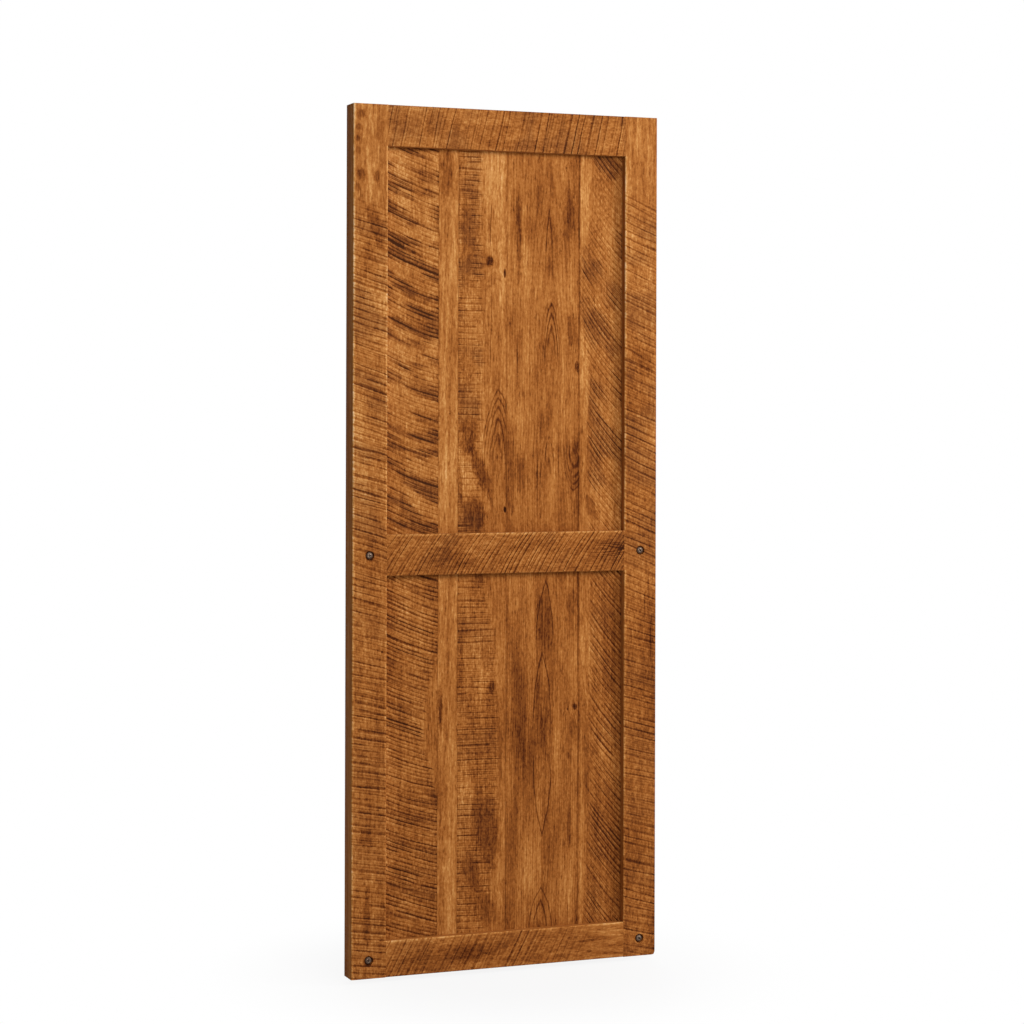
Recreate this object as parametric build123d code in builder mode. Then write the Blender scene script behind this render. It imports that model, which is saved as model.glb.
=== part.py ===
import os

from build123d import *

os.makedirs("parts", exist_ok=True)

# A sliding barn door leaf: five upright planks with tongue and groove edges,
# and a face frame of two stiles and three rails fastened over their front.
# The origin is the middle of the top edge, the front faces -Y and +Z is up.

# Whole door
door_height = 2133.6
door_width = 812.8
worn_corner = 9.0

# Face frame
frame_thickness = 19.05
stile_width = 88.9
top_rail_height = 101.6
middle_rail_height = 101.6
bottom_rail_height = 88.9
middle_rail_drop = 1051.2
frame_arris = 3.0

# Stub tenons that join the rails to the stiles
tenon_length = 25.0
tenon_thickness = 6.5
tenon_shoulder = 14.0
mortise_play = 0.2

# Planks, each width measured across the face between two seams
plank_thickness = 38.1
plank_1_width = 228.0
plank_2_width = 52.0
plank_3_width = 129.0
plank_4_width = 197.0
seam_bevel = 0.6
plank_arris = 3.0
tongue_length = 9.0
tongue_thickness = 12.0
tongue_play = 0.2

# Socket bolts sunk in the stiles
bolt_head_diameter = 16.0
bolt_head_height = 5.6
bolt_crown = 1.4
bolt_crown_flat = 8.0
bolt_socket_width = 5.5
bolt_socket_depth = 3.0
bolt_shank_diameter = 9.5
bolt_shank_length = 42.0
bolt_tip = 3.0
bolt_play = 0.2
counterbore_diameter = 22.5
counterbore_depth = 6.0

# Places that several pieces share
left = -door_width / 2
right = door_width / 2
front = -(frame_thickness + plank_thickness) / 2
behind_frame = front + frame_thickness
back = behind_frame + plank_thickness
rail_length = door_width - 2 * stile_width
stile_centre = (door_width - stile_width) / 2
top_rail_z = -top_rail_height / 2
middle_rail_z = -middle_rail_drop - middle_rail_height / 2
bottom_rail_z = -door_height + bottom_rail_height / 2
tenon_front = front + (frame_thickness - tenon_thickness) / 2
bore_diameter = bolt_shank_diameter + 2 * bolt_play
bore_bottom = front + counterbore_depth + bolt_shank_length + bolt_play
seam_1 = left + plank_1_width
seam_2 = seam_1 + plank_2_width
seam_3 = seam_2 + plank_3_width
seam_4 = seam_3 + plank_4_width
tongue_y = (behind_frame + back) / 2
groove_depth = tongue_length + tongue_play
groove_width = tongue_thickness + 2 * tongue_play

face_plane = Plane.XZ.offset(-front)
mortise_plane = Plane.XZ.offset(-tenon_front + mortise_play)
tenon_plane = Plane.XZ.offset(-tenon_front)
plank_plane = Plane.XZ.offset(-behind_frame)

# Where the rails' tenons enter the stiles: middle height and height of each mortise
mortises = [
    (top_rail_z, top_rail_height - 2 * tenon_shoulder + 2 * mortise_play),
    (middle_rail_z, middle_rail_height - 2 * tenon_shoulder + 2 * mortise_play),
    (bottom_rail_z, bottom_rail_height - 2 * tenon_shoulder + 2 * mortise_play),
]
mortise_depth = tenon_length + mortise_play

# Left stile, full height, with mortises in its inner edge and two bolt seats
with BuildPart() as left_stile:
    with BuildSketch(face_plane):
        with Locations((-stile_centre, -door_height / 2)):
            Rectangle(stile_width, door_height)
    extrude(amount=-frame_thickness)
    long_edges = left_stile.faces().sort_by(Axis.Y)[0].edges().filter_by(Axis.Z)
    fillet(long_edges, radius=frame_arris)
    for height, opening in mortises:
        with BuildSketch(mortise_plane):
            with Locations((-rail_length / 2 - mortise_depth / 2, height)):
                Rectangle(mortise_depth, opening)
        extrude(amount=-tenon_thickness - 2 * mortise_play, mode=Mode.SUBTRACT)
    with Locations(face_plane):
        with Locations((-stile_centre, middle_rail_z), (-stile_centre, bottom_rail_z)):
            CounterBoreHole(bore_diameter / 2, counterbore_diameter / 2, counterbore_depth)
left_stile.part.label = "left_stile"
export_step(left_stile.part, "parts/left_stile.step")

# Right stile, the same board turned round, with its bottom outer corner worn round
with BuildPart() as right_stile:
    with BuildSketch(face_plane):
        with Locations((stile_centre, -door_height / 2)):
            Rectangle(stile_width, door_height)
    extrude(amount=-frame_thickness)
    worn_edge = right_stile.edges().filter_by(Axis.Y).group_by(Axis.Z)[0].sort_by(Axis.X)[-1]
    fillet(worn_edge, radius=worn_corner)
    long_edges = right_stile.faces().sort_by(Axis.Y)[0].edges().filter_by(Axis.Z)
    fillet(long_edges, radius=frame_arris)
    for height, opening in mortises:
        with BuildSketch(mortise_plane):
            with Locations((rail_length / 2 + mortise_depth / 2, height)):
                Rectangle(mortise_depth, opening)
        extrude(amount=-tenon_thickness - 2 * mortise_play, mode=Mode.SUBTRACT)
    with Locations(face_plane):
        with Locations((stile_centre, middle_rail_z), (stile_centre, bottom_rail_z)):
            CounterBoreHole(bore_diameter / 2, counterbore_diameter / 2, counterbore_depth)
right_stile.part.label = "right_stile"
export_step(right_stile.part, "parts/right_stile.step")

# Rails, each butted between the stiles on its shoulders, with a stub tenon at both ends
with BuildPart() as top_rail:
    with BuildSketch(face_plane):
        with Locations((0, top_rail_z)):
            Rectangle(rail_length, top_rail_height)
    extrude(amount=-frame_thickness)
    long_edges = top_rail.faces().sort_by(Axis.Y)[0].edges().filter_by(Axis.X)
    fillet(long_edges, radius=frame_arris)
    with BuildSketch(tenon_plane):
        with Locations((0, top_rail_z)):
            Rectangle(rail_length + 2 * tenon_length, top_rail_height - 2 * tenon_shoulder)
    extrude(amount=-tenon_thickness)
top_rail.part.label = "top_rail"
export_step(top_rail.part, "parts/top_rail.step")

with BuildPart() as middle_rail:
    with BuildSketch(face_plane):
        with Locations((0, middle_rail_z)):
            Rectangle(rail_length, middle_rail_height)
    extrude(amount=-frame_thickness)
    long_edges = middle_rail.faces().sort_by(Axis.Y)[0].edges().filter_by(Axis.X)
    fillet(long_edges, radius=frame_arris)
    with BuildSketch(tenon_plane):
        with Locations((0, middle_rail_z)):
            Rectangle(rail_length + 2 * tenon_length, middle_rail_height - 2 * tenon_shoulder)
    extrude(amount=-tenon_thickness)
middle_rail.part.label = "middle_rail"
export_step(middle_rail.part, "parts/middle_rail.step")

with BuildPart() as bottom_rail:
    with BuildSketch(face_plane):
        with Locations((0, bottom_rail_z)):
            Rectangle(rail_length, bottom_rail_height)
    extrude(amount=-frame_thickness)
    long_edges = bottom_rail.faces().sort_by(Axis.Y)[0].edges().filter_by(Axis.X)
    fillet(long_edges, radius=frame_arris)
    with BuildSketch(tenon_plane):
        with Locations((0, bottom_rail_z)):
            Rectangle(rail_length + 2 * tenon_length, bottom_rail_height - 2 * tenon_shoulder)
    extrude(amount=-tenon_thickness)
bottom_rail.part.label = "bottom_rail"
export_step(bottom_rail.part, "parts/bottom_rail.step")

# Outer left plank: eased at the door's back edge, tongue on its right, bored for two bolts
with BuildPart() as plank_1:
    with BuildSketch(Plane.XY) as profile:
        with Locations(((left + seam_1) / 2, tongue_y)):
            Rectangle(seam_1 - left, plank_thickness)
        chamfer(profile.vertices().group_by(Axis.X)[-1], length=seam_bevel)
        fillet(profile.vertices().group_by(Axis.X)[0].sort_by(Axis.Y)[-1], radius=plank_arris)
        with Locations((seam_1, tongue_y)):
            Rectangle(2 * tongue_length, tongue_thickness)
    extrude(amount=-door_height)
    with Locations(plank_plane):
        with Locations((-stile_centre, middle_rail_z), (-stile_centre, bottom_rail_z)):
            Hole(bore_diameter / 2, depth=bore_bottom - behind_frame)
plank_1.part.label = "plank_1"
export_step(plank_1.part, "parts/plank_1.step")

# Inner planks: a groove on the left edge and a tongue on the right
with BuildPart() as plank_2:
    with BuildSketch(Plane.XY) as profile:
        with Locations(((seam_1 + seam_2) / 2, tongue_y)):
            Rectangle(plank_2_width, plank_thickness)
        chamfer(profile.vertices(), length=seam_bevel)
        with Locations((seam_2, tongue_y)):
            Rectangle(2 * tongue_length, tongue_thickness)
        with Locations((seam_1, tongue_y)):
            Rectangle(2 * groove_depth, groove_width, mode=Mode.SUBTRACT)
    extrude(amount=-door_height)
plank_2.part.label = "plank_2"
export_step(plank_2.part, "parts/plank_2.step")

with BuildPart() as plank_3:
    with BuildSketch(Plane.XY) as profile:
        with Locations(((seam_2 + seam_3) / 2, tongue_y)):
            Rectangle(plank_3_width, plank_thickness)
        chamfer(profile.vertices(), length=seam_bevel)
        with Locations((seam_3, tongue_y)):
            Rectangle(2 * tongue_length, tongue_thickness)
        with Locations((seam_2, tongue_y)):
            Rectangle(2 * groove_depth, groove_width, mode=Mode.SUBTRACT)
    extrude(amount=-door_height)
plank_3.part.label = "plank_3"
export_step(plank_3.part, "parts/plank_3.step")

with BuildPart() as plank_4:
    with BuildSketch(Plane.XY) as profile:
        with Locations(((seam_3 + seam_4) / 2, tongue_y)):
            Rectangle(plank_4_width, plank_thickness)
        chamfer(profile.vertices(), length=seam_bevel)
        with Locations((seam_4, tongue_y)):
            Rectangle(2 * tongue_length, tongue_thickness)
        with Locations((seam_3, tongue_y)):
            Rectangle(2 * groove_depth, groove_width, mode=Mode.SUBTRACT)
    extrude(amount=-door_height)
plank_4.part.label = "plank_4"
export_step(plank_4.part, "parts/plank_4.step")

# Outer right plank: groove on its left, eased back edge, bored for two bolts, worn at the bottom
with BuildPart() as plank_5:
    with BuildSketch(Plane.XY) as profile:
        with Locations(((seam_4 + right) / 2, tongue_y)):
            Rectangle(right - seam_4, plank_thickness)
        chamfer(profile.vertices().group_by(Axis.X)[0], length=seam_bevel)
        with Locations((seam_4, tongue_y)):
            Rectangle(2 * groove_depth, groove_width, mode=Mode.SUBTRACT)
    extrude(amount=-door_height)
    worn_edge = plank_5.edges().filter_by(Axis.Y).group_by(Axis.Z)[0].sort_by(Axis.X)[-1]
    fillet(worn_edge, radius=worn_corner)
    back_edge = plank_5.faces().sort_by(Axis.X)[-1].edges().filter_by(Axis.Z).sort_by(Axis.Y)[-1]
    fillet(back_edge, radius=plank_arris)
    with Locations(plank_plane):
        with Locations((stile_centre, middle_rail_z), (stile_centre, bottom_rail_z)):
            Hole(bore_diameter / 2, depth=bore_bottom - behind_frame)
plank_5.part.label = "plank_5"
export_step(plank_5.part, "parts/plank_5.step")

# Socket bolts, each turned about its own axis and seated on the floor of its counterbore
bolt_seats = {
    "bolt_middle_left": (-stile_centre, middle_rail_z),
    "bolt_middle_right": (stile_centre, middle_rail_z),
    "bolt_bottom_left": (-stile_centre, bottom_rail_z),
    "bolt_bottom_right": (stile_centre, bottom_rail_z),
}
for bolt_name, (bolt_x, bolt_z) in bolt_seats.items():
    with BuildPart() as bolt:
        with BuildSketch(Plane((bolt_x, front + counterbore_depth, bolt_z))):
            with BuildLine():
                Polyline(
                    (0, -bolt_head_height),
                    (bolt_crown_flat / 2, -bolt_head_height),
                    (bolt_head_diameter / 2, -bolt_head_height + bolt_crown),
                    (bolt_head_diameter / 2, 0),
                    (bolt_shank_diameter / 2, 0),
                    (bolt_shank_diameter / 2, bolt_shank_length - bolt_tip),
                    (bolt_shank_diameter / 2 - bolt_tip, bolt_shank_length),
                    (0, bolt_shank_length),
                    close=True,
                )
            make_face()
        revolve(axis=Axis((bolt_x, 0, bolt_z), (0, 1, 0)))
        with BuildSketch(Plane.XZ.offset(-front - counterbore_depth + bolt_head_height)):
            with Locations((bolt_x, bolt_z)):
                RegularPolygon(bolt_socket_width / 2, 6, major_radius=False)
        extrude(amount=-bolt_socket_depth, mode=Mode.SUBTRACT)
    bolt.part.label = bolt_name
    export_step(bolt.part, f"parts/{bolt_name}.step")
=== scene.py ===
from math import cos, pi, radians, sin

import bmesh
import bpy
from mathutils import Euler, Matrix, Vector


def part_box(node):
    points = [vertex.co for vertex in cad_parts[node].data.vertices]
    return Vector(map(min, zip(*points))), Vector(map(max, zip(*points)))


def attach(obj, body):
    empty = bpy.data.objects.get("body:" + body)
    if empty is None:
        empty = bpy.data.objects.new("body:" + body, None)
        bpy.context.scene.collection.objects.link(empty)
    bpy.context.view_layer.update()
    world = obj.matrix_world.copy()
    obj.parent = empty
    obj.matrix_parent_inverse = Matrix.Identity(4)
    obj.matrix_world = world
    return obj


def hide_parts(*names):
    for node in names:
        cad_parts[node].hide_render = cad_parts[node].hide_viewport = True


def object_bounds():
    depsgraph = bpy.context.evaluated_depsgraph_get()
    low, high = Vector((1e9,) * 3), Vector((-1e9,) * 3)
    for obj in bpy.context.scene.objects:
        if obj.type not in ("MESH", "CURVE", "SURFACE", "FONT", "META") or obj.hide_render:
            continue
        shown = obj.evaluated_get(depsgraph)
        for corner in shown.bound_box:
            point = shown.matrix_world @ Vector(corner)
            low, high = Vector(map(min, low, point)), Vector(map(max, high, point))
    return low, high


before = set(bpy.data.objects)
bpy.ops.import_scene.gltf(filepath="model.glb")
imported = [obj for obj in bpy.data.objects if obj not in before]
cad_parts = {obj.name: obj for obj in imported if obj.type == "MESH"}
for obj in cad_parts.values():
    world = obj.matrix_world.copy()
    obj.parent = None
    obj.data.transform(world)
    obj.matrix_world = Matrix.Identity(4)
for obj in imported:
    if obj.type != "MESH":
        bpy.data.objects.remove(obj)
cad_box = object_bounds()

# Planks
# Five upright softwood planks, rough from the band saw and stained honey brown, make the door's body.
# All but the last have a tongue on the right edge that sits in the next plank's groove.


class Flow:
    """A number that runs through a node tree, so that a rule is written as plain arithmetic."""

    def __init__(self, tree, socket):
        self.tree = tree
        self.socket = socket

    def __add__(self, other):
        return work(self.tree, "ADD", self, other)

    def __radd__(self, other):
        return work(self.tree, "ADD", other, self)

    def __sub__(self, other):
        return work(self.tree, "SUBTRACT", self, other)

    def __rsub__(self, other):
        return work(self.tree, "SUBTRACT", other, self)

    def __mul__(self, other):
        return work(self.tree, "MULTIPLY", self, other)

    def __rmul__(self, other):
        return work(self.tree, "MULTIPLY", other, self)

    def __truediv__(self, other):
        return work(self.tree, "DIVIDE", self, other)

    def __abs__(self):
        return work(self.tree, "ABSOLUTE", self)


def feed(tree, socket, value):
    """Gives a socket its value: a flow by a link, a plain number directly."""
    if isinstance(value, Flow):
        tree.links.new(value.socket, socket)
    else:
        socket.default_value = value


def work(tree, operation, *values):
    """One step of arithmetic."""
    node = tree.nodes.new("ShaderNodeMath")
    node.operation = operation
    for socket, value in zip(node.inputs, values):
        feed(tree, socket, value)
    return Flow(tree, node.outputs[0])


def ease(value, low, high):
    """0 below low, 1 above high, and a smooth rise between them."""
    node = value.tree.nodes.new("ShaderNodeMapRange")
    node.interpolation_type = "SMOOTHSTEP"
    feed(value.tree, node.inputs["Value"], value)
    feed(value.tree, node.inputs["From Min"], low)
    feed(value.tree, node.inputs["From Max"], high)
    return Flow(value.tree, node.outputs[0])


def noise(tree, x, y, z, detail=1.0, roughness=0.5):
    """Soft random values, about 0.2 to 0.8, one lump to each unit of x, y and z."""
    place = tree.nodes.new("ShaderNodeCombineXYZ")
    for socket, value in zip(place.inputs, (x, y, z)):
        feed(tree, socket, value)
    node = tree.nodes.new("ShaderNodeTexNoise")
    node.inputs["Scale"].default_value = 1.0
    node.inputs["Detail"].default_value = detail
    node.inputs["Roughness"].default_value = roughness
    tree.links.new(place.outputs[0], node.inputs["Vector"])
    return Flow(tree, node.outputs[0])


def point_in_object(tree):
    """The shaded point's x, y and z in the object's own frame, in metres."""
    where = tree.nodes.new("ShaderNodeTexCoord")
    parts = tree.nodes.new("ShaderNodeSeparateXYZ")
    tree.links.new(where.outputs["Object"], parts.inputs[0])
    return [Flow(tree, socket) for socket in parts.outputs]


def stored(tree, name):
    """A value that was stored on the mesh's points."""
    node = tree.nodes.new("ShaderNodeAttribute")
    node.attribute_name = name
    return Flow(tree, node.outputs["Fac"])


def add_sockets(tree, side, kinds):
    """Gives a node group its named inputs or outputs, each of its own kind."""
    for label, kind in kinds.items():
        tree.interface.new_socket(label, in_out=side, socket_type="NodeSocket" + kind)


def new_group(kind, name, inputs, outputs):
    """An empty node group with named number sockets: its tree, its inputs by name, and its end node."""
    tree = bpy.data.node_groups.new(name, kind)
    add_sockets(tree, "INPUT", dict.fromkeys(inputs, "Float"))
    add_sockets(tree, "OUTPUT", dict.fromkeys(outputs, "Float"))
    start = tree.nodes.new("NodeGroupInput")
    end = tree.nodes.new("NodeGroupOutput")
    return tree, {label: Flow(tree, start.outputs[label]) for label in inputs}, end


def use_group(tree, group, values):
    """Places a node group in a tree with its own values, and gives its outputs by name."""
    shading = tree.bl_idname == "ShaderNodeTree"
    node = tree.nodes.new("ShaderNodeGroup" if shading else "GeometryNodeGroup")
    node.node_tree = group
    for label, value in values.items():
        feed(tree, node.inputs[label], value)
    return {socket.name: Flow(tree, socket) for socket in node.outputs}


saw_settings = ["Angle", "Low Angle", "Curve", "Pitch", "Width", "Reach", "Wander", "Bundle", "Gate",
                "Zone Middle", "Zone Half", "Feather", "Dent At", "Dent Half", "Dent Depth",
                "Smooth Above", "Fade", "Seed"]
calmer_from, calmer_to = 0.95, 1.25


def lot(tree, number):
    """A random share for each whole number."""
    node = tree.nodes.new("ShaderNodeTexWhiteNoise")
    node.noise_dimensions = "1D"
    feed(tree, node.inputs["W"], number)
    return Flow(tree, node.outputs[0])


def saw_lines(tree, along, over, pitch, width, reach, seed):
    """Lines about one pitch apart, each thick or thin, broken into strokes, with a painted highlight along
    the ridge under each.
    """
    phase = over / pitch + noise(tree, along * 3, over / pitch * 0.31, seed) * 1.5
    number = work(tree, "FLOOR", phase)
    off = (work(tree, "FRACT", phase) - 0.5) * pitch
    thick = width * (0.55 + lot(tree, number + seed) * 0.9)
    strong = 0.4 + lot(tree, number + seed + 0.5) * 0.6
    stroke = ease(noise(tree, along / reach, number * 7.31, seed + 1), 0.30, 0.50) * strong
    line = (1 - ease(abs(off), thick * 0.25, thick)) * stroke
    ridge_highlight = (1 - ease(abs(off + width * 1.35), 0.0, width)) * stroke
    return line, ridge_highlight


def saw_marks_group(kind, name):
    """The saw's strokes over a board: long thin lines and finer ones, darkest where they lie in bundles."""
    inputs = ["X", "Z", "Across", *saw_settings]
    tree, given, end = new_group(kind, name, inputs, ["Marks", "Fine", "Ridge Highlight", "Bundle", "Rough"])
    x, z, seed, pitch, reach = (given[label] for label in ("X", "Z", "Seed", "Pitch", "Reach"))
    angle = given["Angle"] + (given["Low Angle"] - given["Angle"]) * ease(z * -1, 1.15, 1.75)
    turn = work(tree, "COSINE", angle)
    rise = work(tree, "SINE", angle)
    stray = (noise(tree, x * 7, z * 5, seed, 2) - 0.5) * given["Wander"]
    ragged = (noise(tree, x * 170, z * 170, seed, 2) - 0.5) * given["Width"] * 1.1
    along = x * turn + z * rise
    over = z * turn - x * rise + given["Curve"] * given["Across"] * given["Across"] + stray + ragged
    coarse, ridge_highlight = saw_lines(tree, along, over, pitch, given["Width"], reach, seed + 2)
    fine, _ = saw_lines(tree, along, over, pitch * 0.37, given["Width"] * 0.7, reach * 0.5, seed + 9)
    bundle = ease(noise(tree, along * 7, over / given["Bundle"], seed + 5, 2), 0.44, 0.62)
    slow_stops = (noise(tree, 3, z * 2.2, seed + 6, 2) - 0.5) * 0.06
    quick_stops = (noise(tree, 5, over / pitch, seed + 7) - 0.5) * 0.05
    side = abs(x + (slow_stops + quick_stops) - given["Zone Middle"])
    dent = (1 - ease(abs(z - given["Dent At"]), 0.0, given["Dent Half"])) * given["Dent Depth"]
    zone = 1 - ease(side + dent, given["Zone Half"], given["Zone Half"] + given["Feather"])
    zone = zone * ease(z * -1, given["Smooth Above"] * -1, given["Fade"] - given["Smooth Above"])
    gate = given["Gate"] * (1 - ease(z * -1, calmer_from, calmer_to) * 0.65)
    patchy = 1 - gate + gate * bundle
    tree.links.new((zone * coarse * patchy).socket, end.inputs["Marks"])
    tree.links.new((zone * fine * patchy).socket, end.inputs["Fine"])
    tree.links.new((zone * ridge_highlight * patchy).socket, end.inputs["Ridge Highlight"])
    tree.links.new((zone * bundle).socket, end.inputs["Bundle"])
    tree.links.new(zone.socket, end.inputs["Rough"])
    return tree


cut_marks = saw_marks_group("GeometryNodeTree", "Saw marks in the board")
stain_marks = saw_marks_group("ShaderNodeTree", "Saw marks in the stain")


def growth_rings_group():
    """Yearly rings round a leaning pith, cut by the board's faces into arches, stripes and end grain."""
    inputs = ["Across", "Depth", "Along", "Pith Across", "Pith Depth", "Lean", "Sway", "Ring", "Bend", "Seed"]
    tree, given, end = new_group("ShaderNodeTree", "Growth rings", inputs, ["Line", "Band"])
    across, depth, along, seed = (given[label] for label in ("Across", "Depth", "Along", "Seed"))
    sway = (noise(tree, along * 1.3, 0.0, seed) - 0.5) * given["Sway"]
    swell = (noise(tree, along * 2.1, 4.0, seed) - 0.5) * given["Sway"]
    side = across - given["Pith Across"] + sway
    deep = depth - given["Pith Depth"] - given["Lean"] * along + swell
    ripple = (noise(tree, across * 16, depth * 16, along * 2.6 + seed, 2) - 0.5) * 0.012
    reach = work(tree, "SQRT", side * side + deep * deep) + ripple + given["Bend"]
    year = reach / given["Ring"]
    part = work(tree, "FRACT", year)
    line = ease(part, 0.45, 0.92) * (1 - ease(part, 0.94, 1.0))
    tree.links.new(line.socket, end.inputs["Line"])
    tree.links.new(noise(tree, year * 0.45, seed, 0.0, 2).socket, end.inputs["Band"])
    return tree


def fibre_group():
    """The wood's fibres, bands and short dashes of them, a fine speckle and slow drifts, each about zero."""
    inputs = ["Across", "Depth", "Along", "Seed"]
    outputs = ["Streak", "Band", "Dash", "Speckle", "Drift"]
    tree, given, end = new_group("ShaderNodeTree", "Wood fibre", inputs, outputs)
    across, depth, along, seed = (given[label] for label in inputs)
    stray = (noise(tree, across * 9, depth * 9, along * 2 + seed, 1) - 0.5) * 0.02
    streak = noise(tree, (across + stray) * 190, depth * 190, along * 22 + seed, 3, 0.6)
    band = noise(tree, (across + stray) * 60, depth * 60, along * 3 + seed, 2)
    dash = noise(tree, (across + stray) * 340, depth * 340, along * 46 + seed, 2, 0.6)
    speckle = noise(tree, across * 190, depth * 190, along * 120 + seed, 3, 0.7)
    drift = noise(tree, across * 14, depth * 14, along * 4 + seed, 3)
    for label, value in zip(outputs, (streak, band, dash, speckle, drift)):
        tree.links.new((value - 0.5).socket, end.inputs[label])
    return tree


def blotch_group():
    """One darker patch, where the stain soaked in darker, and round the bolts a painted shade: ragged edges,
    longer along the grain, often leaning.
    """
    inputs = ["Across", "Along", "Middle Across", "Middle Along", "Half Across", "Half Along", "Lean"]
    tree, given, end = new_group("ShaderNodeTree", "Dark blotch", inputs, ["Mask"])
    across, along = given["Across"], given["Along"]
    off = along - given["Middle Along"]
    side = (across - given["Middle Across"] - given["Lean"] * off) / given["Half Across"]
    run = off / given["Half Along"]
    rag = (noise(tree, across * 100, along * 40, given["Middle Along"] * 9, 4, 0.7) - 0.5) * 1.8
    spread = work(tree, "SQRT", side * side + run * run) + rag
    tree.links.new((1 - ease(spread, 0.45, 1.15)).socket, end.inputs["Mask"])
    return tree


def knot_group():
    """One knot: a dark eye with its own small rings, and the bend that it puts in the grain round it."""
    inputs = ["Across", "Along", "Middle Across", "Middle Along", "Radius", "Stretch"]
    tree, given, end = new_group("ShaderNodeTree", "Knot", inputs, ["Eye", "Bend"])
    side = given["Across"] - given["Middle Across"]
    run = (given["Along"] - given["Middle Along"]) / given["Stretch"]
    rag = noise(tree, given["Across"] * 120, given["Along"] * 60, given["Middle Along"] * 7, 2) - 0.5
    away = work(tree, "SQRT", side * side + run * run) + rag * given["Radius"] * 0.9
    eye = 1 - ease(away, given["Radius"] * 0.5, given["Radius"] * 1.1)
    rings = work(tree, "SINE", away * (2 * pi / 0.0024)) * 0.2 + 0.8
    bend = (1 - ease(away, 0.0, given["Radius"] * 5)) * given["Radius"] * 1.6
    tree.links.new((eye * rings).socket, end.inputs["Eye"])
    tree.links.new(bend.socket, end.inputs["Bend"])
    return tree


def arches_group():
    """One stack of pointed arches, where the saw passed level through the rings: thin nested dark lines."""
    inputs = ["Across", "Along", "Middle Across", "Middle Along", "Half Across", "Half Along"]
    inputs += ["Count", "Round"]
    tree, given, end = new_group("ShaderNodeTree", "Pointed arches", inputs, ["Line"])
    across, along = given["Across"], given["Along"]
    sway = noise(tree, across * 22, along * 8, given["Middle Along"] * 5, 3) - 0.5
    stray = sway * given["Half Across"] * 0.5
    side = abs(across + stray - given["Middle Across"]) / given["Half Across"]
    run = (along - given["Middle Along"]) / given["Half Along"]
    tip = side + (side * side - side) * given["Round"]
    rise = tip + run * run + (noise(tree, across * 60, along * 24, given["Middle Along"] * 3, 2) - 0.5) * 0.12
    near = 0.5 - abs(work(tree, "FRACT", rise * given["Count"]) - 0.5)
    apart = near * given["Half Across"] / given["Count"]
    inside = (1 - ease(rise, 0.92, 1.2)) * ease(run, -0.2, 0.2)
    broken = ease(noise(tree, across * 30, along * 22, given["Middle Along"] * 11, 2), 0.26, 0.42)
    tree.links.new(((1 - ease(apart, 0.0004, 0.0024)) * inside * broken).socket, end.inputs["Line"])
    return tree


growth_rings = growth_rings_group()
wood_fibre = fibre_group()
dark_blotch = blotch_group()
knot = knot_group()
pointed_arches = arches_group()


def paint(red, green, blue):
    """A colour as the eye reads it, 0 to 255, turned into Blender's linear values."""
    shares = (red / 255, green / 255, blue / 255)
    return tuple(s / 12.92 if s <= 0.04045 else ((s + 0.055) / 1.055) ** 2.4 for s in shares) + (1.0,)


stain_colours = [
    (0.00, paint(44, 19, 8)),
    (0.20, paint(88, 43, 17)),
    (0.42, paint(138, 79, 33)),
    (0.58, paint(168, 106, 51)),
    (0.76, paint(198, 141, 80)),
    (1.00, paint(230, 190, 142)),
]
soot_brown = paint(96, 58, 34)


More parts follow.
